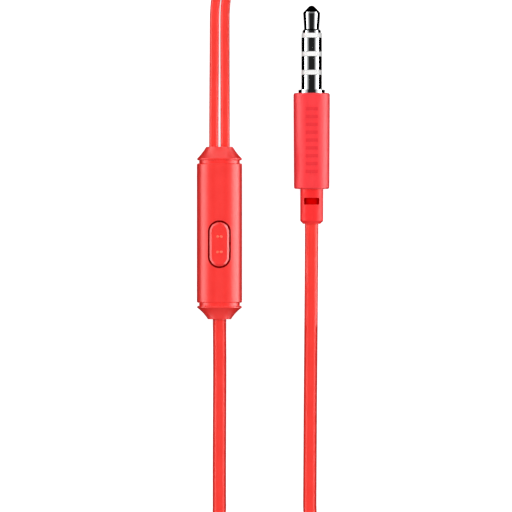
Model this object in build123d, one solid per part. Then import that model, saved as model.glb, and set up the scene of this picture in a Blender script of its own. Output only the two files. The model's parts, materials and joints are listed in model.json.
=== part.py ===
from build123d import *
import math
import os

# Wired earphones: an in-line remote on the cord's fork, a four-contact 3.5 mm plug
# and two in-ear buds. Millimetres. X is to the right of the remote, Y runs along it
# towards the earbuds, and Z is up from the surface that everything lies on.
# The origin is the middle of the flat strip under the remote.

# ---- remote ----
REMOTE_Z = 3.7                 # height of the remote's long axis
BODY_R = 3.9                   # outside radius of the shells
WALL = 0.8
BODY_HALF = 12.0               # the shells end here, both ways along Y
REMOTE_HALF = 14.85            # the end caps reach this far
NECK_R = 3.5                   # groove between a shell and its end cap
NECK_LENGTH = 0.55
LIP_R = 3.87                   # widest part of an end cap
TOP_CAP_END_R = 2.3
BOTTOM_CAP_END_R = 2.0
SOFT_EDGE = 0.14               # chamfer on the shells' and lips' corners
BRANCH_X = 0.98                # the two branch cords leave this far from the axis

# ---- button and switch ----
BUTTON_Y = -1.93
OPENING = (8.22, 3.94)         # length and width of the opening, with full round ends
CAP_SIZE = (7.62, 3.34)
CAP_STANDS_OUT = 0.22          # above the shell's round, at the middle
CAP_CROWN_R = 14.0             # the top is nearly flat from side to side
CAP_CHAMFER = 0.34
FLANGE_SIZE = (8.6, 4.3)
FLANGE_Z = (5.2, 5.65)
DOT_R = 0.24                   # four raised dots, in two pairs
DOT_X = 0.3
DOT_STEP = 1.32                # each pair's distance from the middle of the button
STEM_LOW = 4.1                 # the button's stem meets the plunger here

# ---- circuit board and microphone ----
BOARD_Z = 2.0                  # underside of the circuit board
BOARD_SIZE = (4.4, 17.6, 0.6)
BOARD_RIBS = (-7.6, 2.6, 8.0)  # ribs under the board, along Y
MIC_Y = 5.3
MIC_PORT_R = 0.4

# ---- cords ----
MAIN_D = 2.3
BRANCH_D = 1.6
BORE_GAP = 0.05                # space round a cord in its bore
CORD_INNER_Y = 10.2            # the cords end here, inside the remote
WIRE_START_Y = 8.9             # the bared wires reach the board here

# ---- plug ----
PLUG_X = 15.9
PLUG_Z = 3.14                  # height of the plug's axis, with the barrel lying on the surface
BARREL_R = (3.05, 3.14)        # the barrel widens slightly towards the contacts
BARREL_Y = (7.62, 24.15)
BARREL_BORE_R = 2.32
EDGE_ROUND = 0.32
CONTACT_R = 1.75               # a 3.5 mm plug
COLLAR_R = 2.27
BANDS = (24.75, 27.3, 28.1, 30.5, 31.3, 33.7, 34.5)    # where the contact bands change
TIP_END = 39.25
RELIEF_R = 1.98
RELIEF_END = 1.6
RELIEF_CHAMFER = 0.5
SLOT_Y = 5.5
SLOT_SIZE = (2.64, 1.16)
SLOT_CORNER_R = 0.22
SLOT_WEB = 0.35                # the slots from above and below leave a web this far each way
RIB_COUNT = 9
RIB_PITCH = 1.35
RIB_MIDDLE = 16.0
RIB_SIZE = (2.1, 0.6)
RIB_RISE = 0.2

# ---- earbuds ----
BUD_Y = 85.6                   # rear end of the strain reliefs
BUD_Z = 5.8
BUD_STEP = 6.75                # each bud's distance from the middle of the pair
BUD_R = 5.2
BUD_SEAM = 13.5                # where the two housing halves meet, from BUD_Y
BUD_WALL = 0.7
NOZZLE_R = 2.35
NOZZLE_END = 21.8
TIP_R = 5.8
TIP_START = 17.9
TIP_LENGTH = 7.4

# ---- put-away cord ----
PACK_X = 7.5                   # middle of the hanks and of the pair of earbuds
MAIN_FOLD = 11.5               # centreline radius of the outermost turn
MAIN_PACK_TOP = -63.15         # the fold's centre nearer the remote
MAIN_PACK_RUN = 34.6           # between the two fold centres
BRANCH_FOLD = 6.4
BRANCH_PACK_LOW = 49.7
BRANCH_PACK_RUN = 22.6
TIE_THICK = 0.6
LIFT = 0.65                    # the tie passes underneath and lifts the cord this much

os.makedirs("parts", exist_ok=True)


def save(name, shape):
    export_step(shape, f"parts/{name}.step")


def turned(*outline, x=0.0, z=0.0):
    """A body of revolution about a line along Y. The outline is in (radius, y)."""
    return Pos(x, 0, z) * revolve(make_face(Curve() + list(outline)), Axis.Y)


def ring(outer, inner, start, end, x=0.0, z=0.0):
    """A plain tube or disc along Y."""
    corners = [(inner, start), (outer, start), (outer, end), (inner, end), (inner, start)]
    return turned(Polyline(*corners), x=x, z=z)


def rod(radius, start, end, x=0.0, z=0.0):
    return ring(radius, 0, start, end, x, z)


def ball_arc(rim_r, rim_y, top_y):
    """An arc from a rim to a point on the axis, centred on the axis, as on a ball."""
    rise = top_y - rim_y
    ball_r = (rim_r**2 + rise**2) / (2 * rise)
    centre = Vector(0, top_y - ball_r)
    half_way = (Vector(rim_r, rim_y) + Vector(0, top_y)) / 2 - centre
    middle = centre + half_way.normalized() * ball_r
    return ThreePointArc((rim_r, rim_y), middle, (0, top_y))


def block(size, centre):
    return Pos(*centre) * Box(*size)


def peg(radius, low, high, x=0.0, y=0.0):
    """An upright round peg."""
    return Pos(x, y, (low + high) / 2) * Cylinder(radius, high - low)


def slot_prism(size, low, high, y):
    """An upright prism with full round ends, its length along Y."""
    outline = SlotOverall(size[0], size[1], rotation=90)
    return Pos(0, y, low) * extrude(outline, high - low)


def group(solids):
    """Several separate solids in one node."""
    return Compound(children=[Solid(s.solid().wrapped) for s in solids])


def cord(name, points, diameter):
    """A tube along straight runs joined by the largest arcs that the runs allow."""
    corners = [Vector(*p) for p in points]
    runs = [b - a for a, b in zip(corners, corners[1:])]
    radii = []
    for before, after in zip(runs, runs[1:]):
        half_turn = math.radians(before.get_angle(after) / 2)
        shorter = min(before.length, after.length)
        radii.append(0.45 * shorter / math.tan(half_turn))
    route = FilletPolyline(*corners, radius=radii)
    section = Plane(route @ 0, z_dir=route % 0) * Circle(diameter / 2)
    tube = sweep(section, path=route)
    share = tube.volume / (section.area * route.length)
    print(name, "radii", [round(r, 1) for r in radii], "length", round(route.length, 1),
          "volume / (section x length)", round(share, 4))
    save(name, tube)


# =============== remote: shells ===============
along = REMOTE_Z
inner_r = BODY_R - WALL
shell = turned(
    Polyline((inner_r, -BODY_HALF), (BODY_R - SOFT_EDGE, -BODY_HALF), (BODY_R, -BODY_HALF + SOFT_EDGE),
             (BODY_R, BODY_HALF - SOFT_EDGE), (BODY_R - SOFT_EDGE, BODY_HALF), (inner_r, BODY_HALF),
             (inner_r, -BODY_HALF)),
    z=along,
)
below_surface = block((20, 60, 4), (0, 0, -2))
shell -= below_surface
upper_half = block((20, 60, 20), (0, 0, along + 10))
front_shell = (shell & upper_half) - slot_prism(OPENING, along, along + BODY_R + 1, BUTTON_Y)
save("remote_front_shell", front_shell)

back_shell = shell - upper_half
inside = rod(inner_r + 0.05, -BODY_HALF, BODY_HALF, z=along)
for y in BOARD_RIBS:
    back_shell += block((5.6, 0.8, BOARD_Z), (0, y, BOARD_Z / 2)) & inside
back_shell -= peg(MIC_PORT_R, -1, BOARD_Z, y=MIC_Y)
save("remote_back_shell", back_shell)


# =============== remote: end caps and cord clamps ===============
def end_cap(end_radius, middle):
    """A cap for the +Y end: a spigot in the shells, a groove, a lip and a hollow cone."""
    spigot_r = inner_r - 0.03
    spigot_y = BODY_HALF - 1.6
    lip_low = BODY_HALF + NECK_LENGTH
    lip_high = lip_low + 0.3
    return turned(
        Polyline((0, REMOTE_HALF), (0, spigot_y), (spigot_r, spigot_y), (spigot_r, BODY_HALF),
                 (NECK_R, BODY_HALF), (NECK_R, lip_low), (LIP_R - SOFT_EDGE, lip_low),
                 (LIP_R, lip_low + SOFT_EDGE), (LIP_R, lip_high)),
        ThreePointArc((LIP_R, lip_high), middle, (end_radius, REMOTE_HALF)),
        Line((end_radius, REMOTE_HALF), (0, REMOTE_HALF)),
        z=along,
    )


branch_bore = BRANCH_D / 2 + BORE_GAP
main_bore = MAIN_D / 2 + BORE_GAP
top_cap = end_cap(TOP_CAP_END_R, (3.02, 13.8)) - below_surface
for x in (-BRANCH_X, BRANCH_X):
    top_cap -= rod(branch_bore, 8, 16, x=x, z=along)
save("remote_top_cap", top_cap)
bottom_cap = mirror(end_cap(BOTTOM_CAP_END_R, (2.79, 13.8)), about=Plane.XZ) - below_surface
bottom_cap -= rod(main_bore, -16, -8, z=along)
save("remote_bottom_cap", bottom_cap)

CLAMP_Y = 9.7
CLAMP_THICK = 0.6
branch_clamp = block((4.6, CLAMP_THICK, 3.0), (0, CLAMP_Y, along))
for x in (-BRANCH_X, BRANCH_X):
    branch_clamp -= rod(0.45, 8, 12, x=x, z=along)
save("branch_cord_clamp", branch_clamp)
main_clamp = block((4.0, CLAMP_THICK, 3.6), (0, -CLAMP_Y, along)) - rod(0.8, -12, -8, z=along)
save("main_cord_clamp", main_clamp)

# =============== remote: board, switch, button, microphone ===============
board_top = BOARD_Z + BOARD_SIZE[2]
save("circuit_board", block(BOARD_SIZE, (0, 0, BOARD_Z + BOARD_SIZE[2] / 2)))

chip_places = {
    (-1.2, 4.6): (1.0, 2.0, 0.6),
    (1.2, 4.4): (0.8, 1.6, 0.5),
    (0.0, 7.0): (1.2, 0.8, 0.5),
}
save("board_components", group(
    block(size, (x, y, board_top + size[2] / 2)) for (x, y), size in chip_places.items()))

SWITCH_WIDTH = 3.2
BASE_HEIGHT = 0.8
COVER_THICK = 0.15
cover_low = board_top + BASE_HEIGHT
cavity_floor = board_top + 0.25
base = block((SWITCH_WIDTH, SWITCH_WIDTH, BASE_HEIGHT), (0, BUTTON_Y, board_top + BASE_HEIGHT / 2))
save("switch_base", base - peg(1.15, cavity_floor, cavity_floor + 2, y=BUTTON_Y))
cover = block((SWITCH_WIDTH, SWITCH_WIDTH, COVER_THICK), (0, BUTTON_Y, cover_low + COVER_THICK / 2))
save("switch_cover", cover - peg(0.8, cover_low - 1, cover_low + 1, y=BUTTON_Y))

DOME_R = 1.05
DOME_RISE = 0.35
DOME_THICK = 0.07
dome = turned(
    ball_arc(DOME_R, 0, DOME_RISE),
    Line((0, DOME_RISE), (0, DOME_RISE - DOME_THICK)),
    ball_arc(DOME_R - DOME_THICK, 0, DOME_RISE - DOME_THICK),
    Line((DOME_R - DOME_THICK, 0), (DOME_R, 0)),
)
save("switch_dome", Pos(0, BUTTON_Y, cavity_floor) * Rot(90, 0, 0) * dome)
save("switch_plunger", peg(0.7, cavity_floor + DOME_RISE + 0.02, STEM_LOW, y=BUTTON_Y))

flange_low, flange_high = FLANGE_Z
cap_top = along + BODY_R + CAP_STANDS_OUT
cap_crown = rod(CAP_CROWN_R, -12, 12, z=cap_top - CAP_CROWN_R)
button = slot_prism(CAP_SIZE, flange_low, cap_top + 1, BUTTON_Y) & cap_crown
top_rim = button.edges().filter_by(lambda edge: edge.center().Z > along + 3)
button = chamfer(top_rim, CAP_CHAMFER)
button += slot_prism(FLANGE_SIZE, flange_low, flange_high, BUTTON_Y) & rod(2.9, -12, 12, z=along)
button += peg(0.8, STEM_LOW, flange_low, y=BUTTON_Y)
dot_base = cap_top - 0.4
for side in (-1, 1):
    for x in (-DOT_X, DOT_X):
        dot = peg(DOT_R, dot_base, dot_base + 0.62, x=x, y=BUTTON_Y + side * DOT_STEP)
        button += fillet(dot.edges().group_by(Axis.Z)[-1], 0.14)
save("button_cap", button)

MIC_HEIGHT = 0.85
mic_low = BOARD_Z - MIC_HEIGHT
can = block((2.6, 1.9, MIC_HEIGHT), (0, MIC_Y, BOARD_Z - MIC_HEIGHT / 2))
save("microphone_can", can - peg(0.3, mic_low - 0.2, mic_low + 0.15, y=MIC_Y))
gasket_low = along - inner_r + 0.1
save("microphone_gasket", peg(0.75, gasket_low, mic_low, y=MIC_Y) - peg(MIC_PORT_R, 0, 2, y=MIC_Y))

WIRE_R = 0.2
wire_end = CORD_INNER_Y - 0.05
remote_wires = [rod(WIRE_R, WIRE_START_Y, wire_end, x=x, z=along) for x in (-BRANCH_X, BRANCH_X)]
remote_wires += [rod(WIRE_R, -wire_end, -WIRE_START_Y, x=x, z=along) for x in (-0.35, 0.35)]
save("remote_wires", group(remote_wires))

# =============== plug: contacts and insulators ===============
CONTACT_EDGE = 0.05


def contact(band, outer, inner, back):
    """A tube through the plug with its visible band at the full contact radius."""
    low, high = band
    return turned(
        Polyline((inner, back), (outer, back), (outer, low), (CONTACT_R - CONTACT_EDGE, low),
                 (CONTACT_R, low + CONTACT_EDGE), (CONTACT_R, high - CONTACT_EDGE),
                 (CONTACT_R - CONTACT_EDGE, high), (inner, high), (inner, back)),
        x=PLUG_X, z=PLUG_Z,
    )


# each tube's outer radius, which is the bore of the next one out
TUBE_R = (0.5, 0.72, 0.94, 1.1, 1.28, 1.42)
TUBE_BACK = (11.6, 12.2, 12.8, 13.4, 14.0, 14.6, 15.2)
tip_start = BANDS[6]
TIP_R_WIDE = 1.47
NOSE_R = 0.55
NOSE_Y = 39.0
tip_contact = turned(
    Polyline((0, TIP_END), (0, TUBE_BACK[0]), (TUBE_R[0], TUBE_BACK[0]), (TUBE_R[0], tip_start),
             (1.57, tip_start), (1.57, tip_start + 0.42), (1.28, tip_start + 0.68), (TIP_R_WIDE, 37.9),
             (TIP_R_WIDE - 0.08, 38.12), (NOSE_R, NOSE_Y)),
    ball_arc(NOSE_R, NOSE_Y, TIP_END),
    x=PLUG_X, z=PLUG_Z,
)
sleeve_r = 1.7
sleeve_bore = TUBE_R[5]
sleeve = turned(
    Polyline((sleeve_bore, TUBE_BACK[6]), (sleeve_r, TUBE_BACK[6]), (sleeve_r, BARREL_Y[1]),
             (COLLAR_R, BARREL_Y[1]), (COLLAR_R, BANDS[0] - CONTACT_EDGE), (CONTACT_R, BANDS[0]),
             (CONTACT_R, BANDS[1] - CONTACT_EDGE), (CONTACT_R - CONTACT_EDGE, BANDS[1]),
             (sleeve_bore, BANDS[1]), (sleeve_bore, TUBE_BACK[6])),
    x=PLUG_X, z=PLUG_Z,
)
contacts = {"plug_tip_contact": tip_contact, "plug_sleeve_contact": sleeve}
tube_names = ("plug_insulator_1", "plug_ring_1_contact", "plug_insulator_2", "plug_ring_2_contact",
              "plug_insulator_3")
for number, name in enumerate(tube_names, start=1):
    band = (BANDS[6 - number], BANDS[7 - number])
    contacts[name] = contact(band, TUBE_R[number], TUBE_R[number - 1], TUBE_BACK[number])
for name, shape in contacts.items():
    save(name, shape)

# =============== plug: barrel, mould, strain relief ===============
MOULD_R = 2.3
MOULD_Y = (9.3, 21.9)
mould = rod(MOULD_R, *MOULD_Y, x=PLUG_X, z=PLUG_Z)
for shape in contacts.values():
    mould -= shape
LEAD_R = 0.16
lead_ends = (MOULD_Y[0] + 0.05, TUBE_BACK[0] - 0.2)
lead_places = ((0.9, 0.0), (-0.9, 0.0), (0.0, 0.9), (0.0, -0.9))
plug_leads = [rod(LEAD_R, *lead_ends, x=PLUG_X + dx, z=PLUG_Z + dz) for dx, dz in lead_places]
for lead in plug_leads:
    mould -= lead
save("plug_inner_mould", mould)
save("plug_wires", group(plug_leads))


def rounded_corner(radius, y, outward):
    """A quarter round at an end of the barrel, from the flat end to the side."""
    flat = (radius - EDGE_ROUND, y)
    side = (radius, y + outward * EDGE_ROUND)
    inset = EDGE_ROUND * (1 - math.sqrt(0.5))
    middle = (radius - inset, y + outward * inset)
    return flat, middle, side


barrel_low, barrel_high = BARREL_Y
low_flat, low_middle, low_side = rounded_corner(BARREL_R[0], barrel_low, 1)
high_flat, high_middle, high_side = rounded_corner(BARREL_R[1], barrel_high, -1)
relief_hole = RELIEF_R + 0.02
barrel = turned(
    Line((relief_hole, barrel_low), low_flat),
    ThreePointArc(low_flat, low_middle, low_side),
    Line(low_side, high_side),
    ThreePointArc(high_side, high_middle, high_flat),
    Polyline(high_flat, (sleeve_r + 0.02, barrel_high), (sleeve_r + 0.02, 22.0), (BARREL_BORE_R, 22.0),
             (BARREL_BORE_R, 8.5), (relief_hole, 8.5), (relief_hole, barrel_low)),
    x=PLUG_X, z=PLUG_Z,
)
rib_ring = ring(sum(BARREL_R) / 2 + RIB_RISE, BARREL_R[0] - 0.3, 5, 30, x=PLUG_X, z=PLUG_Z)
for number in range(RIB_COUNT):
    y = RIB_MIDDLE + (number - (RIB_COUNT - 1) / 2) * RIB_PITCH
    barrel += block((*RIB_SIZE, 2), (PLUG_X, y, 2 * PLUG_Z)) & rib_ring
save("plug_barrel", barrel)

relief_bore = MAIN_D / 2 + BORE_GAP
relief = turned(
    Polyline((relief_bore, RELIEF_END), (RELIEF_R - RELIEF_CHAMFER, RELIEF_END),
             (RELIEF_R, RELIEF_END + RELIEF_CHAMFER), (RELIEF_R, 8.52), (MOULD_R, 8.52), (MOULD_R, 9.25),
             (relief_bore, 9.25), (relief_bore, RELIEF_END)),
    x=PLUG_X, z=PLUG_Z,
)
slot_cut = extrude(RectangleRounded(*SLOT_SIZE, SLOT_CORNER_R), 5)
relief -= Pos(PLUG_X, SLOT_Y, PLUG_Z + SLOT_WEB) * slot_cut
relief -= Pos(PLUG_X, SLOT_Y, PLUG_Z - SLOT_WEB - 5) * slot_cut
save("plug_strain_relief", relief)


# =============== earbuds ===============
def earbud(side, x):
    """One bud, its sound outlet towards +Y. Every place along it is measured from BUD_Y."""
    place = {"x": x, "z": BUD_Z}

    def at(y):
        return BUD_Y + y

    bore = BRANCH_D / 2 + BORE_GAP
    seam = at(BUD_SEAM)
    wall_r = BUD_R - BUD_WALL

    # shell halves and the relief that the cord comes out of
    relief_body = turned(
        Polyline((bore, at(0)), (1.25, at(0)), (1.75, at(7.4)), (1.75, at(8.2)), (2.3, at(8.25)),
                 (2.3, at(8.9)), (bore, at(8.9)), (bore, at(0))),
        **place,
    )
    rear = turned(
        Line((1.8, at(7.5)), (2.7, at(7.5))),
        ThreePointArc((2.7, at(7.5)), (4.45, at(9.4)), (BUD_R, at(12.2))),
        Polyline((BUD_R, at(12.2)), (BUD_R, seam), (wall_r, seam), (wall_r, at(12.4))),
        ThreePointArc((wall_r, at(12.4)), (3.8, at(9.9)), (2.4, at(8.2))),
        Polyline((2.4, at(8.2)), (1.8, at(8.2)), (1.8, at(7.5))),
        **place,
    )
    outlet_r = 1.75
    lip_r = NOZZLE_R + 0.25
    front = turned(
        Polyline((wall_r, seam), (BUD_R, seam), (BUD_R, at(14.6))),
        ThreePointArc((BUD_R, at(14.6)), (4.5, at(16.4)), (2.9, at(17.3))),
        Polyline((2.9, at(17.3)), (NOZZLE_R, at(17.5)), (NOZZLE_R, at(20.6)), (lip_r, at(20.8)),
                 (lip_r, at(21.4)), (NOZZLE_R, at(NOZZLE_END)), (outlet_r, at(NOZZLE_END)),
                 (outlet_r, at(17.0))),
        ThreePointArc((outlet_r, at(17.0)), (3.7, at(16.1)), (wall_r, at(14.9))),
        Line((wall_r, at(14.9)), (wall_r, seam)),
        **place,
    )
    mesh = rod(outlet_r - 0.03, at(NOZZLE_END - 0.5), at(NOZZLE_END - 0.3), **place)

    # the driver: a frame, a magnet in its yoke, a coil and a diaphragm
    frame_r = wall_r - 0.05
    yoke_r = 2.9
    frame = turned(
        Polyline((yoke_r + 0.05, at(12.2)), (frame_r, at(12.2)), (frame_r, at(14.6)), (4.15, at(14.6)),
                 (4.15, at(14.0)), (yoke_r + 0.05, at(13.4)), (yoke_r + 0.05, at(12.2))),
        **place,
    )
    yoke = turned(
        Polyline((0, at(11.6)), (yoke_r, at(11.6)), (yoke_r, at(13.6)), (2.6, at(13.6)), (2.6, at(12.0)),
                 (0, at(12.0)), (0, at(11.6))),
        **place,
    )
    magnet = rod(1.95, at(12.0), at(13.2), **place)
    plate = rod(2.0, at(13.2), at(13.55), **place)
    coil = ring(2.42, 2.2, at(12.6), at(13.95), **place)
    film = 0.08
    film_y = at(14.1)
    dome_r = 2.25
    dome_top = at(14.75)
    diaphragm = turned(
        ball_arc(dome_r, film_y, dome_top),
        Line((0, dome_top), (0, dome_top + film)),
        ball_arc(dome_r + film, film_y + film, dome_top + film),
        Line((dome_r + film, film_y + film), (2.55, film_y + film)),
        ThreePointArc((2.55, film_y + film), (3.3, film_y + 0.3 + film), (4.1, film_y + film)),
        Line((4.1, film_y + film), (4.1, film_y)),
        ThreePointArc((4.1, film_y), (3.3, film_y + 0.3), (2.55, film_y)),
        Line((2.55, film_y), (dome_r, film_y)),
        **place,
    )

    # the silicone tip: a stem that grips the nozzle, and an umbrella folded back over it
    tip_bore = NOZZLE_R + 0.3
    stem_r = 3.15
    tip_low = at(TIP_START)
    tip_high = at(TIP_START + TIP_LENGTH)
    skirt_low = tip_low + 0.3
    skirt_wall = 0.45
    ear_tip = turned(
        Polyline((tip_bore, tip_low), (stem_r, tip_low), (stem_r, tip_high - 2.7)),
        ThreePointArc((stem_r, tip_high - 2.7), (4.5, tip_high - 4.7), (TIP_R - skirt_wall, skirt_low)),
        Line((TIP_R - skirt_wall, skirt_low), (TIP_R, skirt_low)),
        ThreePointArc((TIP_R, skirt_low), (4.95, tip_high - 2.9), (3.0, tip_high - 0.1)),
        Polyline((3.0, tip_high - 0.1), (tip_bore, tip_high), (tip_bore, tip_low)),
        **place,
    )
    pieces = {
        "strain_relief": relief_body,
        "rear_housing": rear,
        "front_housing": front,
        "nozzle_mesh": mesh,
        "driver_frame": frame,
        "driver_yoke": yoke,
        "magnet": magnet,
        "pole_plate": plate,
        "voice_coil": coil,
        "diaphragm": diaphragm,
        "ear_tip": ear_tip,
    }
    for piece, shape in pieces.items():
        save(f"{side}_{piece}", shape)


earbud("left", PACK_X - BUD_STEP)
earbud("right", PACK_X + BUD_STEP)

# =============== cords: the stretches that aren't coiled ===============
pack_left = PACK_X - MAIN_FOLD
pack_right = PACK_X + MAIN_FOLD
on_floor = MAIN_D / 2
cord("main_cord_remote_side", [
    (0, -CORD_INNER_Y, along), (0, -15.6, 3.73), (0.06, -22.5, 3.3), (0, -32, 1.3), (-0.04, -43.5, 1.15),
    (0, -51.6, 1.16), (pack_left + 0.4, -57.8, 1.15), (pack_left, MAIN_PACK_TOP, on_floor)], MAIN_D)
cord("main_cord_plug_side", [
    (PLUG_X, 9.2, PLUG_Z), (PLUG_X, 2.8, PLUG_Z), (PLUG_X - 0.03, -5.5, 2.8), (PLUG_X - 0.1, -16, 1.35),
    (PLUG_X - 0.2, -27.5, 1.15), (PLUG_X - 0.28, -42, 1.17), (PLUG_X - 0.35, -51, 1.3),
    (pack_right - 0.4, -57.4, 3.3), (pack_right, MAIN_PACK_TOP, 3.5)], MAIN_D)
low_branch = BRANCH_D / 2
outer_x = PACK_X - BRANCH_FOLD
inner_x = outer_x + BRANCH_D
cord("left_branch_near", [
    (-BRANCH_X, CORD_INNER_Y, along), (-BRANCH_X, 15.6, 3.73), (-0.96, 22.5, 3.2), (-0.9, 32, 0.95),
    (-0.87, 41, 0.8), (outer_x - 0.15, 45.6, 0.82), (outer_x, BRANCH_PACK_LOW, low_branch)], BRANCH_D)
cord("right_branch_near", [
    (BRANCH_X, CORD_INNER_Y, along), (BRANCH_X, 15.6, 3.73), (0.97, 22.5, 3.2), (0.94, 32, 0.95),
    (0.93, 41, 0.8), (inner_x - 0.1, 45.6, 0.82), (inner_x, BRANCH_PACK_LOW, low_branch)], BRANCH_D)
pack_top = BRANCH_PACK_LOW + BRANCH_PACK_RUN
top_layer = 3.5 * BRANCH_D
left_x = PACK_X - BUD_STEP
right_x = PACK_X + BUD_STEP
cord("left_branch_far", [
    (outer_x, pack_top, top_layer), (outer_x + 0.02, 77.0, 5.72), (left_x + 0.05, 82.0, BUD_Z + 0.02),
    (left_x, 87.0, BUD_Z), (left_x + 0.01, BUD_Y + 6.0, BUD_Z)], BRANCH_D)
cord("right_branch_far", [
    (inner_x, pack_top, top_layer), (inner_x + 0.2, 77.0, 5.7), (inner_x + 3.3, 80.6, 5.78),
    (inner_x + 8.3, 81.4, BUD_Z), (right_x - 0.06, 84.4, BUD_Z), (right_x, 88.4, BUD_Z),
    (right_x - 0.01, BUD_Y + 6.0, BUD_Z)], BRANCH_D)


# =============== cords: the put-away hanks and their ties ===============
def hank(name, low_y, run, outer, waist, height, tie_gap):
    """A peanut-shaped block, the outside of a hank drawn in by its tie at the waist."""
    middle = run / 2
    right = Spline((outer, 0), (waist, middle), (outer, run), tangents=[(0, 1), (0, 1)])
    left = mirror(right, about=Plane.YZ)
    ends = [
        ThreePointArc((-outer, 0), (0, -outer), (outer, 0)),
        ThreePointArc((-outer, run), (0, run + outer), (outer, run)),
    ]
    outline = make_face(Curve() + [right, left] + ends)
    main_block = extrude(outline, height)
    raised = extrude(outline, height + LIFT) & block((60, 12, 30), (0, middle, 15 + LIFT))
    under_tie = block((60, tie_gap, 2 * LIFT), (0, middle, 0))
    shape = (main_block + raised) - under_tie
    save(name, Pos(PACK_X, low_y, 0) * shape)


def tie(name, middle_y, half_width, height, width):
    """A strap that closes round the waist of a hank and lies flat underneath."""
    inner_round = 0.1
    inner = RectangleRounded(2 * half_width, height, inner_round)
    outer = RectangleRounded(2 * (half_width + TIE_THICK), height + 2 * TIE_THICK, inner_round + TIE_THICK)
    band = extrude(outer - inner, width / 2, both=True)
    band = Rot(90, 0, 0) * band
    save(name, Pos(PACK_X, middle_y, TIE_THICK + height / 2 + 0.02) * band)


main_waist = 3 * MAIN_D
hank("main_cord_hank", MAIN_PACK_TOP - MAIN_PACK_RUN, MAIN_PACK_RUN, MAIN_FOLD + MAIN_D / 2, main_waist,
     2 * MAIN_D, 5.0)
tie("main_cord_tie", MAIN_PACK_TOP - MAIN_PACK_RUN / 2, main_waist + 0.45, 2 * MAIN_D + 0.15, 4.0)
branch_waist = 2 * BRANCH_D
hank("branch_cord_hank", BRANCH_PACK_LOW, BRANCH_PACK_RUN, BRANCH_FOLD + BRANCH_D / 2, branch_waist,
     4 * BRANCH_D, 4.4)
tie("branch_cord_tie", BRANCH_PACK_LOW + BRANCH_PACK_RUN / 2, branch_waist + 0.58, 4 * BRANCH_D + 0.15, 3.5)
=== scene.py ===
import json
import math

import bmesh
import bpy
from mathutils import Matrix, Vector


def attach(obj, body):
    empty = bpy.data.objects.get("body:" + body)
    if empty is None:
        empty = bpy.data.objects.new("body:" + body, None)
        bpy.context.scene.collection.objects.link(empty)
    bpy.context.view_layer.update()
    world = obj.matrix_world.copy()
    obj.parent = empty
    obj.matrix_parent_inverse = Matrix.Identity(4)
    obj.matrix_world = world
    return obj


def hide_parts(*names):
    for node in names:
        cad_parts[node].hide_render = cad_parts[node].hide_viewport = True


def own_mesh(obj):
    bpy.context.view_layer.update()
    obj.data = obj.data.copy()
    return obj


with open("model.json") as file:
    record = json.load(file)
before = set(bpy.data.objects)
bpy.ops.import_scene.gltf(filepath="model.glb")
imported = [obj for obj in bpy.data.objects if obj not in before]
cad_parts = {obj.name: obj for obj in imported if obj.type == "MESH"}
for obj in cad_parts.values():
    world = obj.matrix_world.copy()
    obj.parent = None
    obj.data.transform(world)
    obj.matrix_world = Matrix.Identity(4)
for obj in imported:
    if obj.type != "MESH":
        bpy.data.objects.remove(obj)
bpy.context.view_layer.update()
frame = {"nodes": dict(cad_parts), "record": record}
NODES = frame["nodes"]
# Lengths and places below are in millimetres, in the part's own frame. mm() turns them into metres.
MM = 0.001


def mm(*values):
    return tuple(v * MM for v in values)


def new_object(name, data):
    made = bpy.data.objects.new(name, data)
    bpy.context.collection.objects.link(made)
    return made


# =============== camera: straight down, with a long lens ===============
VIEW_SIZE = 88.3 * MM          # width of the picture at the height of the part's axes
VIEW_CENTRE = mm(6.3, -3.95, 3.5)
CAMERA_HEIGHT = 1.3            # in metres, above the view's centre
SENSOR = 36.0


def add_camera():
    data = bpy.data.cameras.new("camera")
    data.sensor_width = SENSOR
    data.lens = SENSOR * CAMERA_HEIGHT / VIEW_SIZE
    data.clip_start = 0.05
    data.clip_end = 20.0
    camera = new_object("camera", data)
    x, y, z = VIEW_CENTRE
    camera.location = (x, y, z + CAMERA_HEIGHT)
    bpy.context.scene.camera = camera


add_camera()

# =============== cords ===============
MAIN_D = 2.3                   # diameters of the cords
BRANCH_D = 1.6
REMOTE_Z = 3.7                 # height of the remote's axis, which lies on x = 0
BRANCH_EXIT = 0.98             # and each branch cord this far beside the axis
PLUG_X = 15.9                  # the plug's axis
PLUG_Z = 3.14
PACK_X = 7.5                   # middle line of the two hanks
BUD_Y = 85.6                   # near end of both buds
BUD_Z = 5.8                    # height of their axes
BUD_STEP = 6.75                # their distance from the hanks' middle line
BUD_X = {"left": PACK_X - BUD_STEP, "right": PACK_X + BUD_STEP}
BUD_CORD_END = BUD_Y + 6.0     # where each branch cord ends, inside its bud
LIFT = 0.65                    # a tie's thickness lifts the turns over it
LIFT_FLAT = 2.2                # and they stay lifted this far from its middle
SLOPE_STEP = 0.05              # half the distance over which a hank's slope is measured
ARC_STEPS = 8                  # points on each half circle of a fold
RUN_STEPS = 7                  # steps along each side of a hank
ARC_SWELL = 0.019              # the spline cuts this share inside the points of a fold
CURVE_STEPS = 6                # steps from point to point of a spline
SECTION_STEPS = 6              # and round each part of its section

MAIN_FOLDS = (11.5, 9.2, 6.9)  # centreline radius of each column of turns
MAIN_COLUMNS = (0, 1, 2, 2, 1, 0)   # each turn's column and layer: inwards below, outwards above
MAIN_LAYERS = (0, 0, 0, 1, 1, 1)
BRANCH_FOLDS = {"left": 6.4, "right": 4.8}
BRANCH_TURNS = 3
# the shares of a fold over which a turn moves to the next column, and up to the next layer
EARLY_MOVE, LATE_MOVE = (0.0, 0.6), (0.4, 1.0)
MAIN_RISE, BRANCH_RISE = (0.2, 0.8), (0.0, 0.67)

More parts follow.
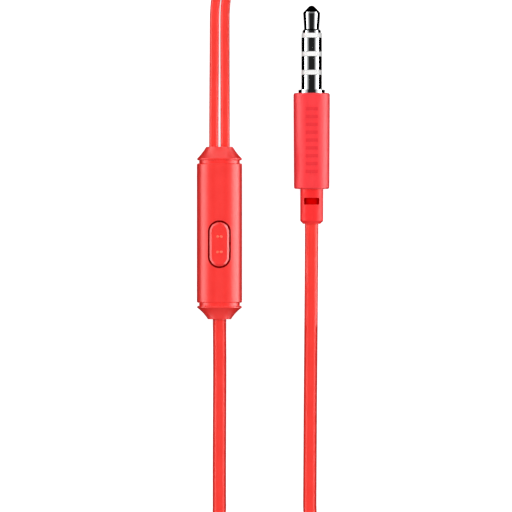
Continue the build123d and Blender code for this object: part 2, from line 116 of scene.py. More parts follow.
REMOTE_ROUTE = [
    (0, -10.2, REMOTE_Z), (0, -15.6, 3.73), (0.06, -22.5, 3.3), (0, -32, 1.3),
    (-0.04, -43.5, 1.15), (0, -51.6, 1.16), (-3.6, -57.8, 1.15)]
PLUG_ROUTE = [
    (PLUG_X, 9.2, PLUG_Z), (PLUG_X, 2.8, PLUG_Z), (15.87, -5.5, 2.8), (15.8, -16, 1.35),
    (15.7, -27.5, 1.15), (15.62, -42, 1.17), (15.55, -51, 1.3), (18.6, -57.4, 3.3)]
BRANCH_ROUTES = {
    "left": (
        [(-BRANCH_EXIT, 10.2, REMOTE_Z), (-BRANCH_EXIT, 15.6, 3.73), (-0.96, 22.5, 3.2),
         (-0.9, 32, 0.95), (-0.87, 41, 0.8), (0.95, 45.6, 0.82)],
        [(1.12, 77.0, 5.72), (0.8, 82.0, 5.82), (0.75, 87.0, BUD_Z),
         (0.76, BUD_CORD_END, BUD_Z)]),
    "right": (
        [(BRANCH_EXIT, 10.2, REMOTE_Z), (BRANCH_EXIT, 15.6, 3.73), (0.97, 22.5, 3.2),
         (0.94, 32, 0.95), (0.93, 41, 0.8), (2.6, 45.6, 0.82)],
        [(2.9, 77.0, 5.7), (6.0, 80.6, 5.78), (11.0, 81.4, BUD_Z), (14.19, 84.4, BUD_Z),
         (14.25, 88.4, BUD_Z), (14.24, BUD_CORD_END, BUD_Z)]),
}


def smooth(value, start, end):
    """A smooth change from 0 to 1 as the value goes from start to end."""
    t = min(max((value - start) / (end - start), 0.0), 1.0)
    return t * t * (3 - 2 * t)


def drawn_in(y, low, top):
    """1 at a hank's waist, where its tie draws the turns together, and 0 at its folds."""
    half = (top - low) / 2
    t = min(abs(y - low - half) / half, 1.0)
    return 1 - t**3 * (10 - 15 * t + 6 * t * t)


def lifted(y, low, top, reach):
    """How much the tie that passes underneath lifts the turns at this place."""
    return LIFT * (1 - smooth(abs(y - (low + top) / 2), LIFT_FLAT, reach))


def beside(y, radius, pack):
    """Where a turn runs along a hank's side: the distance from the middle line, and its own y."""
    def inner_line(at):
        return pack["inner"] - pack["pinch"] * drawn_in(at, pack["low"], pack["top"])

    slope = (inner_line(y + SLOPE_STEP) - inner_line(y - SLOPE_STEP)) / (2 * SLOPE_STEP)
    out = (radius - pack["inner"]) / math.hypot(1, slope)
    return inner_line(y) + out, y - out * slope


def hank(low, top, inner, diameter, reach):
    """A hank: the y of its folds' centres, its inner turn, and how far its tie's lift reaches."""
    return {"low": low, "top": top, "middle": (low + top) / 2,
            "inner": inner, "pinch": inner - diameter / 2, "reach": reach}


MAIN_PACK = hank(-97.75, -63.15, MAIN_FOLDS[2], MAIN_D, 11.0)
BRANCH_PACK = hank(49.7, 72.3, BRANCH_FOLDS["right"], BRANCH_D, 8.0)


def side_points(pack, side, down, lane, steps):
    """Points along one side of a hank. lane(y) gives the turn's fold radius and height there."""
    points = []
    low, top = pack["low"], pack["top"]
    for step in range(steps):
        share = step / RUN_STEPS
        y = top + (low - top) * share if down else low + (top - low) * share
        radius, z = lane(y)
        out, along = beside(y, radius, pack)
        points.append((PACK_X + side * out, along, z + lifted(y, low, top, pack["reach"])))
    return points


def fold_points(y, start, turn, lane):
    """Points round one fold, half a turn from angle start. lane(share) gives radius and height."""
    points = []
    for step in range(ARC_STEPS):
        share = step / ARC_STEPS
        radius, z = lane(share)
        swell = min(1, 4 * share, 4 - 4 * share)    # it comes and goes in the end quarters
        radius *= 1 + ARC_SWELL * math.sin(math.pi * swell / 2)
        angle = start + turn * math.pi * share
        points.append((PACK_X + radius * math.cos(angle), y + radius * math.sin(angle), z))
    return points


def main_lane(turn, share):
    """Fold radius and height of a turn, at this share of its way over the top fold to the next."""
    after = min(turn + 1, len(MAIN_COLUMNS) - 1)
    layer, next_layer = MAIN_LAYERS[turn], MAIN_LAYERS[after]
    shift = smooth(share, *(EARLY_MOVE if layer else LATE_MOVE))
    upwards = smooth(share, *MAIN_RISE)
    radius, next_radius = MAIN_FOLDS[MAIN_COLUMNS[turn]], MAIN_FOLDS[MAIN_COLUMNS[after]]
    radius += (next_radius - radius) * shift
    height = MAIN_D * (0.5 + layer + (next_layer - layer) * upwards)
    return radius, height


def main_turns():
    """The hank of main cord: three columns of turns, inwards below and outwards above."""
    points = []
    for turn in range(len(MAIN_COLUMNS)):
        last = turn == len(MAIN_COLUMNS) - 1
        points += side_points(MAIN_PACK, -1, True, lambda y: main_lane(turn, 0), RUN_STEPS)
        points += fold_points(MAIN_PACK["low"], math.pi, 1, lambda share: main_lane(turn, 0))
        points += side_points(MAIN_PACK, 1, False, lambda y: main_lane(turn, 0), RUN_STEPS + last)
        if not last:
            points += fold_points(MAIN_PACK["top"], 0, 1, lambda share: main_lane(turn, share))
    return points


def branch_turns(radius):
    """One branch cord's turns, each on the one before. The two cords lie side by side."""
    points = []
    for turn in range(BRANCH_TURNS + 1):
        z = BRANCH_D * (0.5 + turn)
        last = turn == BRANCH_TURNS
        points += side_points(BRANCH_PACK, -1, False, lambda y: (radius, z), RUN_STEPS + last)
        if last:
            break
        points += fold_points(BRANCH_PACK["top"], math.pi, -1, lambda share: (radius, z))
        points += side_points(BRANCH_PACK, 1, True, lambda y: (radius, z), RUN_STEPS)
        points += fold_points(BRANCH_PACK["low"], 0, -1,
                              lambda share: (radius, z + BRANCH_D * smooth(share, *BRANCH_RISE)))
    return points


def add_cord(name, points, diameter, material):
    """A cord: one open spline with the route's points as its control points."""
    data = bpy.data.curves.new(name, "CURVE")
    data.dimensions = "3D"
    data.resolution_u = CURVE_STEPS
    data.bevel_depth = diameter * MM / 2
    data.bevel_resolution = SECTION_STEPS
    data.use_fill_caps = True
    spline = data.splines.new("NURBS")
    spline.points.add(len(points) - 1)
    for point, place in zip(spline.points, points):
        point.co = (*mm(*place), 1.0)
    spline.order_u = 3
    spline.use_endpoint_u = True
    data.materials.append(material)
    piece = new_object(name, data)
    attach(piece, "root")
    return piece


# =============== materials ===============
class MathNodes:
    """Short calls for sums in a node tree."""

    def __init__(self, tree):
        self.tree = tree

    def math(self, operation, first, second=0.0):
        node = self.tree.nodes.new("ShaderNodeMath")
        node.operation = operation
        for socket, value in zip(node.inputs, (first, second)):
            if isinstance(value, bpy.types.NodeSocket):
                self.tree.links.new(value, socket)
            else:
                socket.default_value = value
        return node.outputs[0]

    def step(self, value, low, high, start, end):
        """A smooth change from start to end as the value goes from low to high."""
        node = self.tree.nodes.new("ShaderNodeMapRange")
        node.interpolation_type = "SMOOTHSTEP"
        self.tree.links.new(value, node.inputs["Value"])
        node.inputs["From Min"].default_value = low
        node.inputs["From Max"].default_value = high
        node.inputs["To Min"].default_value = start
        node.inputs["To Max"].default_value = end
        return node.outputs[0]


DRIFT_EDGES = (0.35, 0.65)     # values of the noise between which the colour drifts


def new_material(name):
    material = bpy.data.materials.new(name)
    material.use_nodes = True
    shader = material.node_tree.nodes["Principled BSDF"]
    return material, material.node_tree, shader


def link(tree, start, start_socket, end, end_socket):
    tree.links.new(start.outputs[start_socket], end.inputs[end_socket])


def place_texture(tree, kind, scale, **settings):
    """A procedural texture in the object's own coordinates, in repeats per metre."""
    place = tree.nodes.new("ShaderNodeTexCoord")
    texture = tree.nodes.new(kind)
    link(tree, place, "Object", texture, "Vector")
    texture.inputs["Scale"].default_value = scale
    for socket, value in settings.items():
        texture.inputs[socket].default_value = value
    return texture


def color_ramp(tree, shader, source, socket, edges, dark, light):
    """Base colour from dark to light, as a texture's value goes from one edge to the other."""
    ramp = tree.nodes.new("ShaderNodeValToRGB")
    for element, position, color in zip(ramp.color_ramp.elements, edges, (dark, light)):
        element.position = position
        element.color = (*color, 1)
    link(tree, source, socket, ramp, "Fac")
    link(tree, ramp, "Color", shader, "Base Color")


def vary_color(tree, shader, dark, light, scale):
    noise = place_texture(tree, "ShaderNodeTexNoise", scale, Detail=3.0)
    color_ramp(tree, shader, noise, "Fac", DRIFT_EDGES, dark, light)


def vary_roughness(tree, shader, low, high, scale):
    noise = place_texture(tree, "ShaderNodeTexNoise", scale, Detail=2.0)
    spread = tree.nodes.new("ShaderNodeMapRange")
    spread.inputs["To Min"].default_value = low
    spread.inputs["To Max"].default_value = high
    link(tree, noise, "Fac", spread, "Value")
    link(tree, spread, "Result", shader, "Roughness")


def add_bump(tree, shader, height_node, socket, strength, distance):
    bump = tree.nodes.new("ShaderNodeBump")
    bump.inputs["Strength"].default_value = strength
    bump.inputs["Distance"].default_value = distance
    link(tree, height_node, socket, bump, "Height")
    link(tree, bump, "Normal", shader, "Normal")


INSIDE, OUTSIDE = "LESS_THAN", "GREATER_THAN"
# sockets of a Mix node that mixes colours, which share their names with those for other data
MIX_FACTOR, MIX_FIRST, MIX_SECOND, MIX_RESULT = 0, 6, 7, 2


def recolor(material, axis, radius, side, low_y, high_y, color):
    """Another colour INSIDE or OUTSIDE a radius of an axis along Y, and INSIDE also no gloss."""
    tree = material.node_tree
    base = tree.nodes["Principled BSDF"].inputs["Base Color"]
    nodes = MathNodes(tree)
    place = tree.nodes.new("ShaderNodeTexCoord")
    split = tree.nodes.new("ShaderNodeSeparateXYZ")
    link(tree, place, "Object", split, "Vector")
    across = nodes.math("SUBTRACT", split.outputs["X"], axis[0] * MM)
    up = nodes.math("SUBTRACT", split.outputs["Z"], axis[1] * MM)
    squares = nodes.math(
        "ADD", nodes.math("MULTIPLY", across, across), nodes.math("MULTIPLY", up, up))
    chosen = nodes.math(side, squares, (radius * MM) ** 2)
    past_low = nodes.math("GREATER_THAN", split.outputs["Y"], low_y * MM)
    before_high = nodes.math("LESS_THAN", split.outputs["Y"], high_y * MM)
    share = nodes.math("MULTIPLY", chosen, nodes.math("MULTIPLY", past_low, before_high))
    mix = tree.nodes.new("ShaderNodeMix")
    mix.data_type = "RGBA"
    mix.inputs[MIX_SECOND].default_value = (*color, 1)
    tree.links.new(share, mix.inputs[MIX_FACTOR])
    tree.links.new(base.links[0].from_socket, mix.inputs[MIX_FIRST])
    tree.links.new(mix.outputs[MIX_RESULT], base)
    if side == INSIDE:
        gloss = tree.nodes["Principled BSDF"].inputs["Specular IOR Level"]
        outside = nodes.math("SUBTRACT", 1.0, share)
        tree.links.new(nodes.math("MULTIPLY", outside, gloss.default_value), gloss)


# repeats per metre of the colour drift and of the uneven gloss, and the depth of the grain
MOULDED_DRIFT, MOULDED_GLOSS, MOULDED_GRAIN = 260.0, 900.0, 0.02 * MM
METAL_DRIFT, METAL_GLOSS, METAL_GRAIN = 700.0, 1500.0, 0.004 * MM
COAT_ROUGHNESS = 0.12


def moulded(name, dark, light, rough, grain_scale, grain, coat=0.0, specular=0.5):
    """Moulded plastic or rubber: faint colour drift, uneven gloss and a fine surface grain."""
    material, tree, shader = new_material(name)
    vary_color(tree, shader, dark, light, MOULDED_DRIFT)
    vary_roughness(tree, shader, *rough, MOULDED_GLOSS)
    noise = place_texture(tree, "ShaderNodeTexNoise", grain_scale, Detail=4.0)
    add_bump(tree, shader, noise, "Fac", grain, MOULDED_GRAIN)
    shader.inputs["Coat Weight"].default_value = coat
    shader.inputs["Coat Roughness"].default_value = COAT_ROUGHNESS
    shader.inputs["Specular IOR Level"].default_value = specular
    return material


def metal(name, dark, light, rough, grain_scale, grain):
    """Metal: as moulded(), with finer marks."""
    material, tree, shader = new_material(name)
    vary_color(tree, shader, dark, light, METAL_DRIFT)
    vary_roughness(tree, shader, *rough, METAL_GLOSS)
    noise = place_texture(tree, "ShaderNodeTexNoise", grain_scale, Detail=3.0)
    add_bump(tree, shader, noise, "Fac", grain, METAL_GRAIN)
    shader.inputs["Metallic"].default_value = 1.0
    return material


SCREEN_HOLES = 3600.0          # holes per metre
HOLE_EDGES = (0.30, 0.36)      # the change from hole to wire, in shares of a cell
# the holes' near black is painted shade in the openings
HOLE_SHADE_BLACK, WIRE_GREY = (0.01, 0.01, 0.01), (0.55, 0.55, 0.56)


def mesh_screen(name):
    """Steel screen over the sound outlet: round holes in a regular grid, painted near black as
    shade in the openings.
    """
    material, tree, shader = new_material(name)
    cells = place_texture(tree, "ShaderNodeTexVoronoi", SCREEN_HOLES, Randomness=0.0)
    color_ramp(tree, shader, cells, "Distance", HOLE_EDGES, HOLE_SHADE_BLACK, WIRE_GREY)
    add_bump(tree, shader, cells, "Distance", 0.8, 0.05 * MM)
    shader.inputs["Metallic"].default_value = 1.0
    shader.inputs["Roughness"].default_value = 0.32
    return material


# darker and lighter colour, range of roughness, and the grain's scale and strength
RED_SHELL = moulded(
    "red_shell", (0.90, 0.030, 0.025), (0.94, 0.036, 0.030), (0.28, 0.34), 9000.0, 0.25)
RED_SOFT = moulded(
    "red_soft", (0.90, 0.014, 0.015), (0.94, 0.019, 0.019), (0.42, 0.52), 14000.0, 0.4)
RED_CORD = moulded(
    "red_cord", (0.90, 0.036, 0.025), (0.94, 0.043, 0.031), (0.30, 0.36), 11000.0, 0.3,
    specular=0.36)
BUTTON_RED = moulded(
    "button_red", (0.89, 0.029, 0.024), (0.93, 0.034, 0.029), (0.20, 0.26), 12000.0, 0.15,
    specular=0.42)
BARREL_RED = moulded(
    "barrel_red", (0.90, 0.033, 0.042), (0.94, 0.039, 0.049), (0.38, 0.44), 12000.0, 0.3)
SILICONE = moulded(
    "ear_silicone", (0.82, 0.045, 0.040), (0.86, 0.055, 0.048), (0.34, 0.44), 16000.0, 0.3)
WHITE = moulded(
    "white_plastic", (0.88, 0.88, 0.87), (0.94, 0.94, 0.93), (0.35, 0.45), 9000.0, 0.2)
BLACK = moulded(
    "black_plastic", (0.015, 0.015, 0.016), (0.025, 0.025, 0.026), (0.45, 0.55), 9000.0, 0.4)
BLACK_SOFT = moulded(
    "tie_rubber", (0.016, 0.016, 0.017), (0.030, 0.030, 0.031), (0.5, 0.62), 7000.0, 0.6)
GREEN = moulded(
    "board_green", (0.010, 0.11, 0.045), (0.016, 0.15, 0.06), (0.22, 0.3), 5000.0, 0.2, coat=0.3)
FILM = moulded("film", (0.55, 0.57, 0.60), (0.66, 0.68, 0.72), (0.12, 0.2), 3000.0, 0.1)
CHROME = metal("chrome", (0.70, 0.71, 0.72), (0.78, 0.79, 0.80), (0.06, 0.10), 9000.0, 0.1)
STEEL = metal("steel", (0.50, 0.50, 0.51), (0.58, 0.58, 0.59), (0.24, 0.34), 12000.0, 0.3)
MAGNET = metal("magnet", (0.45, 0.45, 0.47), (0.55, 0.55, 0.57), (0.18, 0.26), 9000.0, 0.2)
COPPER = metal("copper", (0.72, 0.32, 0.16), (0.82, 0.40, 0.22), (0.2, 0.3), 9000.0, 0.2)
SCREEN = mesh_screen("nozzle_screen")
SLOT_MATERIALS = {
    "red_shell": RED_SHELL,
    "red_soft": RED_SOFT,
    "red_cord": RED_CORD,
    "tie_rubber": BLACK_SOFT,
    "board_green": GREEN,
    "black_plastic": BLACK,
    "steel": STEEL,
    "white_plastic": WHITE,
    "black_rubber": BLACK_SOFT,
    "copper": COPPER,
    "chrome": CHROME,
    "ear_silicone": SILICONE,
    "magnet": MAGNET,
    "film": FILM,
}
NODE_MATERIALS = {
    "button_cap": BUTTON_RED,
    "plug_barrel": BARREL_RED,
    "left_nozzle_mesh": SCREEN,
    "right_nozzle_mesh": SCREEN,
}


def dress_nodes():
    """Every CAD node gets its finished material on its own slots."""
    finish = {part["node"]: part["material_slot"] for part in frame["record"]["subparts"]}
    for name, node in NODES.items():
        material = NODE_MATERIALS.get(name, SLOT_MATERIALS[finish[name]])
        if not node.material_slots:
            node.data.materials.append(material)
        for material_slot in node.material_slots:
            material_slot.material = material


dress_nodes()

# painted shade: what lies inside the relief's slot and in the gap round the button gets a deeper,
# matt colour that stands in for the shade in these recesses
SLOT_R = 1.85                  # just under the strain relief's surface
SLOT_Y = (4.85, 6.15)
# painted shade in the slot, on the relief and on the cord inside it
SLOT_SHADE_RED = (0.70, 0.0, 0.0)
for material in (NODES["plug_strain_relief"].data.materials[0], RED_CORD):
    recolor(material, (PLUG_X, PLUG_Z), SLOT_R, INSIDE, *SLOT_Y, SLOT_SHADE_RED)
GAP_R = 3.78                   # just under the shell's surface
OPENING_Y = (-6.2, 2.4)
# painted shade in the gap round the button, on the shell's opening and the button's sides
GAP_SHADE_RED = (0.55, 0.0, 0.0)
for material in (RED_SHELL, BUTTON_RED):
    recolor(material, (0.0, REMOTE_Z), GAP_R, INSIDE, *OPENING_Y, GAP_SHADE_RED)
# the dots stand above the button's crown and get a lighter red, a painted highlight; the ribs stand
# above the barrel
CROWN_R = 14.0
CROWN_TOP = 4.12               # above the remote's axis
DOT_R = 14.08
# painted highlight on the dots' tops
DOT_HIGHLIGHT_RED = (1.0, 0.15, 0.09)
recolor(BUTTON_RED, (0.0, REMOTE_Z + CROWN_TOP - CROWN_R), DOT_R, OUTSIDE, *OPENING_Y, DOT_HIGHLIGHT_RED)
RIB_R = 3.2
BARREL_Y = (7.0, 25.0)
RIB_RED = (0.84, 0.022, 0.033)
recolor(BARREL_RED, (PLUG_X, PLUG_Z), RIB_R, OUTSIDE, *BARREL_Y, RIB_RED)


# =============== soft pieces: ear tips and ties ===============
def add_mesh(name, vertices, faces, material, body):
    data = bpy.data.meshes.new(name)
    data.from_pydata(vertices, [], faces)
    work = bmesh.new()
    work.from_mesh(data)
    bmesh.ops.recalc_face_normals(work, faces=work.faces)
    work.to_mesh(data)
    work.free()
    for face in data.polygons:
        face.use_smooth = True
    data.materials.append(material)
    piece = new_object(name, data)
    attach(piece, body)
    return piece


def subdivide(piece, levels):
    """Smooth the mesh for good, so that no modifier is left on it."""
    modifier = piece.modifiers.new("smooth", "SUBSURF")
    modifier.levels = levels
    modifier.render_levels = levels
    view = bpy.context.evaluated_depsgraph_get()
    finished = bpy.data.meshes.new_from_object(piece.evaluated_get(view))
    piece.modifiers.clear()
    piece.data = finished


def ring_faces(rings, count, closed):
    """Quads between neighbouring rings of points, all with the same count."""
    faces = []
    last = rings if closed else rings - 1
    for ring in range(last):
        start, after = ring * count, ((ring + 1) % rings) * count
        for i in range(count):
            j = (i + 1) % count
            faces.append((start + i, start + j, after + j, after + i))
    return faces


TIP_SIDES = 40
# once round the section, as (radius, place along the bud): skirt, nose, bore, stem, inside of skirt
TIP_OUTLINE = [
    (5.76, 18.45), (5.78, 19.4), (5.58, 20.9), (5.12, 22.4), (4.42, 23.8), (3.62, 24.85),
    (3.05, 25.2), (2.78, 25.22), (2.67, 25.0), (2.67, 21.9), (2.67, 18.2), (2.74, 17.96),
    (3.0, 17.96), (3.12, 18.2), (3.12, 20.5), (3.12, 22.2), (3.4, 22.75), (3.9, 22.2),
    (4.55, 20.7), (5.05, 19.4), (5.34, 18.5), (5.42, 18.3), (5.66, 18.28)]


def add_ear_tip(side):
    """A soft hollow ear tip: its section turned round the bud's axis."""
    vertices = []
    for step in range(TIP_SIDES):
        angle = 2 * math.pi * step / TIP_SIDES
        for radius, along in TIP_OUTLINE:
            x = BUD_X[side] + radius * math.cos(angle)
            z = BUD_Z + radius * math.sin(angle)
            vertices.append(mm(x, BUD_Y + along, z))
    faces = ring_faces(TIP_SIDES, len(TIP_OUTLINE), closed=True)
    tip = add_mesh(f"{side}_silicone_tip", vertices, faces, SILICONE, f"{side}_tip")
    subdivide(tip, 1)
    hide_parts(f"{side}_ear_tip")


STRAP_THICK = 0.34
STRAP_CORNER = 1.0             # radius of the loop's corners
CORNER_STEPS = 8
STRAP_EASE = 0.3               # share of the thickness taken off each edge
TABLE_GAP = 0.02
TAIL_START = 0.62              # where the free end begins and how long it is, in half widths
TAIL_SPAN = 1.3
TAIL_ROUND = 0.86              # share of its length at which it starts to narrow to its round end
TAIL_TIP = 0.06                # square of the share of its width that is left at the very end
TAIL_THICK = 0.75              # its thickness and width, in shares of the loop's
TAIL_WIDTH = 0.86
TAIL_RIBS = 9
RIB_STEPS = 4
RIB_HEIGHT = 0.09


def strap_loop_path(half_width, height, low):
    """Points and outward directions round the inside of the loop, as (x, z) pairs."""
    path = []
    right = half_width - STRAP_CORNER
    bottom, top = low + STRAP_CORNER, low + height - STRAP_CORNER
    corners = ((right, top, 0), (-right, top, 90), (-right, bottom, 180), (right, bottom, 270))
    for x, z, start in corners:
        for step in range(CORNER_STEPS + 1):
            angle = math.radians(start + 90 * step / CORNER_STEPS)
            out = (math.cos(angle), math.sin(angle))
            path.append(((x + STRAP_CORNER * out[0], z + STRAP_CORNER * out[1]), out))
    return path


def strap_section(thick, width):
    """A flat band with eased edges, as (outward, along Y) pairs."""
    ease = STRAP_EASE * thick
    half = width / 2
    return [
        (0, -half + ease), (0, half - ease), (ease, half), (thick - ease, half),
        (thick, half - ease), (thick, -half + ease), (thick - ease, -half), (ease, -half)]


def swept(path, sections, centre_x, middle_y):
    """A ring of points for each place of the path, each with its own section."""
    vertices = []
    for ((x, z), (out_x, out_z)), section in zip(path, sections):
        for outward, along in section:
            across = centre_x + x + out_x * outward
            vertices.append(mm(across, middle_y + along, z + out_z * outward))
    return vertices


def add_tie(name, node, middle_y, half_width, height, width):
    """A rubber strap round the waist of a hank, with its ribbed free end lying on top."""
    low = STRAP_THICK + TABLE_GAP
    loop = strap_loop_path(half_width, height, low)
    count = len(strap_section(1, 1))
    vertices = swept(loop, [strap_section(STRAP_THICK, width)] * len(loop), PACK_X, middle_y)
    faces = ring_faces(len(loop), count, closed=True)
    start = len(vertices)
    top = low + height + STRAP_THICK
    stations = RIB_STEPS * TAIL_RIBS + 1
    tail, sections = [], []
    for step in range(stations):
        share = step / (stations - 1)
        x = half_width * (TAIL_START - TAIL_SPAN * share)
        past_round = max(0.0, (share - TAIL_ROUND) / (1 - TAIL_ROUND))
        round_end = math.sqrt(max(TAIL_TIP, 1 - past_round**2))
        ribbed = RIB_HEIGHT * (1 - math.cos(2 * math.pi * TAIL_RIBS * share)) / 2
        tail.append(((x, top), (0.0, 1.0)))
        sections.append(
            strap_section(TAIL_THICK * STRAP_THICK + ribbed, TAIL_WIDTH * width * round_end))
    vertices += swept(tail, sections, PACK_X, middle_y)
    faces += [tuple(start + i for i in face) for face in ring_faces(stations, count, closed=False)]
    faces.append(tuple(start + i for i in range(count)))
    faces.append(tuple(start + (stations - 1) * count + i for i in range(count)))
    tie = add_mesh(name, vertices, faces, BLACK_SOFT, "root")
    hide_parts(node)
    return tie


for side in BUD_X:
    add_ear_tip(side)
# beside its waist the main hank is three turns wide and two high, the branch hank two and four
MAIN_TIE = add_tie("main_cord_strap", "main_cord_tie", MAIN_PACK["middle"],
                   half_width=3 * MAIN_D + 0.45, height=2 * MAIN_D + 0.15, width=4.0)
BRANCH_TIE = add_tie("branch_cord_strap", "branch_cord_tie", BRANCH_PACK["middle"],
                     half_width=2 * BRANCH_D + 0.58, height=4 * BRANCH_D + 0.15, width=3.5)


def flatten(node):
    """A copy of a thin CAD piece in its own mesh, which takes the node's place."""
    source = NODES[node]
    data = source.data.copy()
    data.transform(source.matrix_world)
    piece = new_object(f"{node}_flexing", data)
    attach(piece, "root")
    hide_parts(node)
    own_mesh(piece)


flatten("switch_dome")
for side, centre_x in BUD_X.items():
    flatten(f"{side}_diaphragm")

# =============== the cords themselves ===============
main_cord = add_cord("main_cord", REMOTE_ROUTE + main_turns() + PLUG_ROUTE[::-1], MAIN_D, RED_CORD)
CORDS = [main_cord]
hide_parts("main_cord_remote_side", "main_cord_hank", "main_cord_plug_side")
PLUG_PIECES = [
    "plug_barrel", "plug_strain_relief", "plug_tip_contact", "plug_ring_1_contact",
    "plug_ring_2_contact", "plug_sleeve_contact", "plug_insulator_1", "plug_insulator_2",
    "plug_insulator_3", "plug_inner_mould", "plug_wires"]
for side, exit_x in (("left", -BRANCH_EXIT), ("right", BRANCH_EXIT)):
    near, far = BRANCH_ROUTES[side]
    route = near + branch_turns(BRANCH_FOLDS[side]) + far
    branch = add_cord(f"{side}_branch_cord", route, BRANCH_D, RED_CORD)
    CORDS.append(branch)
    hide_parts(f"{side}_branch_near", f"{side}_branch_far", "branch_cord_hank")

# =============== stage and light ===============
FLOOR_SIZE = 6.0               # in metres
FLOOR_DROP = 0.02 * MM         # keeps it clear of what lies on z = 0
FLOOR_GREY = 0.9
FLOOR_GLOW = 0.6               # keeps the floor white where the part shades it


def add_floor():
    """A white card that throws no light up at the cords and shows in no reflection."""
    bpy.ops.mesh.primitive_plane_add(size=FLOOR_SIZE, location=(0, 0, -FLOOR_DROP))
    floor = bpy.context.object
    floor.name = "floor"
    material, _, shader = new_material("floor")
    shader.inputs["Base Color"].default_value = (FLOOR_GREY, FLOOR_GREY, FLOOR_GREY, 1)
    shader.inputs["Roughness"].default_value = 0.9
    shader.inputs["Specular IOR Level"].default_value = 0.0
    shader.inputs["Emission Color"].default_value = (1, 1, 1, 1)
    shader.inputs["Emission Strength"].default_value = FLOOR_GLOW
    floor.data.materials.append(material)
    floor.visible_glossy = False
    floor.visible_diffuse = False


def add_softbox(name, location, size, power):
    """A soft lamp aimed at the origin, left out of reflections. Place and size are in metres."""
    data = bpy.data.lights.new(name, "AREA")
    data.shape = "RECTANGLE"
    data.size, data.size_y = size
    data.energy = power
    lamp = new_object(name, data)
    lamp.location = location
    lamp.rotation_euler = (-Vector(location)).to_track_quat("-Z", "Y").to_euler()
    lamp.visible_glossy = False


# Pairs are the values of a direction's x, y or z between which a change takes place.
HORIZON = (-0.05, 0.05)
SKY_LIGHT = 0.38               # light from above the horizon, on matt surfaces
END_LIGHT = 0.60               # more of it from the far and near ends, which lights the end caps
GROUND_LIGHT = 0.05            # light from below it
MIDDLE = (-0.1, 0.1)           # where the left softbox gives way to the right one
BAND_LIGHT = 5.4               # long low softboxes to the left and right, in reflections
BAND_FOOT_LEFT = (-0.46, -0.04)
BAND_FOOT_RIGHT = (-0.60, -0.24)
BAND_TOP = (0.22, 0.52)
WALL_LIGHT = 0.9               # the pale walls above the softboxes
WALL_TOP = (0.73, 0.90)
SIDE_FADE = (0.1, 0.8)         # in squares of x: boxes and walls are brightest at the sides
SIDE_CHANGE = (-0.5, 0.5)
SIDE_LEVELS = (0.95, 1.22)     # on the left and on the right
END_CHANGE = (0.2, 0.9)
END_LEVELS = (0.06, 0.35)      # what is added to that, up to the far end
DARK_ROOM = 0.02               # what every other direction shows in reflections


def set_world():
    """A white room for the camera, a dim sky for matt surfaces, low side lights for gloss."""
    world = bpy.data.worlds.new("world")
    bpy.context.scene.world = world
    world.use_nodes = True
    world.cycles.sampling_method = "NONE"
    tree = world.node_tree
    nodes = MathNodes(tree)
    place = tree.nodes.new("ShaderNodeTexCoord")
    split = tree.nodes.new("ShaderNodeSeparateXYZ")
    tree.links.new(place.outputs["Generated"], split.inputs[0])
    x, y, z = split.outputs[0], split.outputs[1], split.outputs[2]
    on_right = nodes.step(x, *MIDDLE, 0.0, 1.0)
    on_left = nodes.math("SUBTRACT", 1.0, on_right)
    foot = nodes.math(
        "ADD", nodes.math("MULTIPLY", on_left, nodes.step(z, *BAND_FOOT_LEFT, 0.0, 1.0)),
        nodes.math("MULTIPLY", on_right, nodes.step(z, *BAND_FOOT_RIGHT, 0.0, 1.0)))
    low_boxes = nodes.math("MULTIPLY", foot, nodes.step(z, *BAND_TOP, BAND_LIGHT, 0.0))
    walls = nodes.math(
        "MULTIPLY", nodes.step(z, *BAND_TOP, 0.0, 1.0), nodes.step(z, *WALL_TOP, WALL_LIGHT, 0.0))
    band = nodes.math("ADD", low_boxes, walls)
    across = nodes.math("MULTIPLY", x, x)
    side = nodes.step(across, *SIDE_FADE, 0.0, 1.0)
    right = nodes.step(x, *SIDE_CHANGE, *SIDE_LEVELS)
    far_end = nodes.step(y, *END_CHANGE, *END_LEVELS)
    share = nodes.math("ADD", nodes.math("MULTIPLY", side, right), far_end)
    glossy = nodes.math("ADD", nodes.math("MULTIPLY", band, share), DARK_ROOM)
    ends = nodes.math("MULTIPLY", nodes.math("MULTIPLY", y, y), END_LIGHT)
    sky = nodes.math(
        "MULTIPLY", nodes.step(z, *HORIZON, 0.0, 1.0), nodes.math("ADD", ends, SKY_LIGHT))
    matt = nodes.math("MAXIMUM", sky, GROUND_LIGHT)
    rays = tree.nodes.new("ShaderNodeLightPath")
    level = nodes.math("MULTIPLY", rays.outputs["Is Glossy Ray"], glossy)
    not_glossy = nodes.math("SUBTRACT", 1.0, rays.outputs["Is Glossy Ray"])
    level = nodes.math("ADD", level, nodes.math("MULTIPLY", not_glossy, matt))
    level = nodes.math("MAXIMUM", level, rays.outputs["Is Camera Ray"])
    tree.links.new(level, tree.nodes["Background"].inputs["Strength"])
    tree.nodes["Background"].inputs["Color"].default_value = (1, 1, 1, 1)


add_floor()
set_world()
add_softbox("top_box", location=(0.0, 0.15, 1.6), size=(1.4, 1.4), power=18.0)
scene = bpy.context.scene
scene.view_settings.view_transform = "Standard"
scene.view_settings.look = "None"

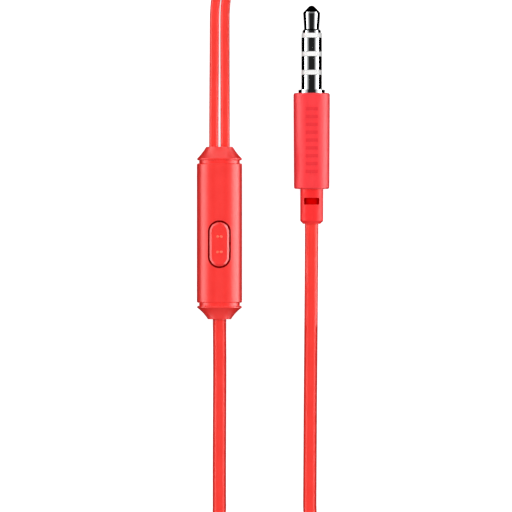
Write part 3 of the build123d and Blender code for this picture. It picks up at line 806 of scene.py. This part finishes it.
CARD_LOW = 0.05                # height of every card's lower edge
SHANK_AWAY = 3.2               # from the plug's axis
SHANK_LEFT, SHANK_RIGHT = PLUG_X - SHANK_AWAY, PLUG_X + SHANK_AWAY
SHANK_NEAR, SHANK_FAR = 24.2, 41.5
SHANK_CARDS = [
    # the two ends of each card round the plug's shank, and its top
    ((SHANK_LEFT, SHANK_NEAR), (SHANK_LEFT, SHANK_FAR), 4.6),
    ((SHANK_RIGHT, SHANK_NEAR), (SHANK_RIGHT, SHANK_FAR), 4.6),
    ((SHANK_LEFT, SHANK_FAR), (SHANK_RIGHT, SHANK_FAR), 7.0),
]
CORD_CARD_AWAY = 0.6           # from the cord's side
CORD_CARD_TOP = 0.78           # above the cord's axis, in shares of its radius
CORD_CARD_Y = (-52, 42)
PLUG_CARD_FROM = -15           # the plug's cord has cards only nearer than this


def black_card_material():
    black, _, shader = new_material("black_card")
    shader.inputs["Base Color"].default_value = (0, 0, 0, 1)
    shader.inputs["Specular IOR Level"].default_value = 0.0
    return black


BLACK_CARD = black_card_material()


def add_card(top_line):
    """A black upright card under a line of points, seen in reflections only, for dark edges."""
    count = len(top_line)
    corners = [mm(*point) for point in top_line] + [mm(x, y, CARD_LOW) for x, y, z in top_line]
    faces = [(i, i + 1, count + i + 1, count + i) for i in range(count - 1)]
    data = bpy.data.meshes.new("black_card")
    data.from_pydata(corners, [], faces)
    data.materials.append(BLACK_CARD)
    card = new_object("black_card", data)
    card.visible_camera = False
    card.visible_diffuse = False
    card.visible_shadow = False


def add_cord_cards(route, diameter):
    """Cards on both sides of a cord, up to where its own side turns under the light."""
    radius = diameter / 2
    low_y, high_y = CORD_CARD_Y
    for side in (-1, 1):
        away = side * (radius + CORD_CARD_AWAY)
        add_card([(x + away, y, z + CORD_CARD_TOP * radius)
                  for x, y, z in route if low_y < y < high_y])


for start, end, top in SHANK_CARDS:
    add_card([(*start, top), (*end, top)])
add_cord_cards(REMOTE_ROUTE, MAIN_D)
add_cord_cards([point for point in PLUG_ROUTE if point[1] < PLUG_CARD_FROM], MAIN_D)
# the remote, the plug and the cords are lit as if each lay alone, so none shows in another's gloss
for name in PLUG_PIECES + ["remote_front_shell", "remote_back_shell"]:
    NODES[name].visible_glossy = False
for cord in CORDS:
    cord.visible_glossy = False
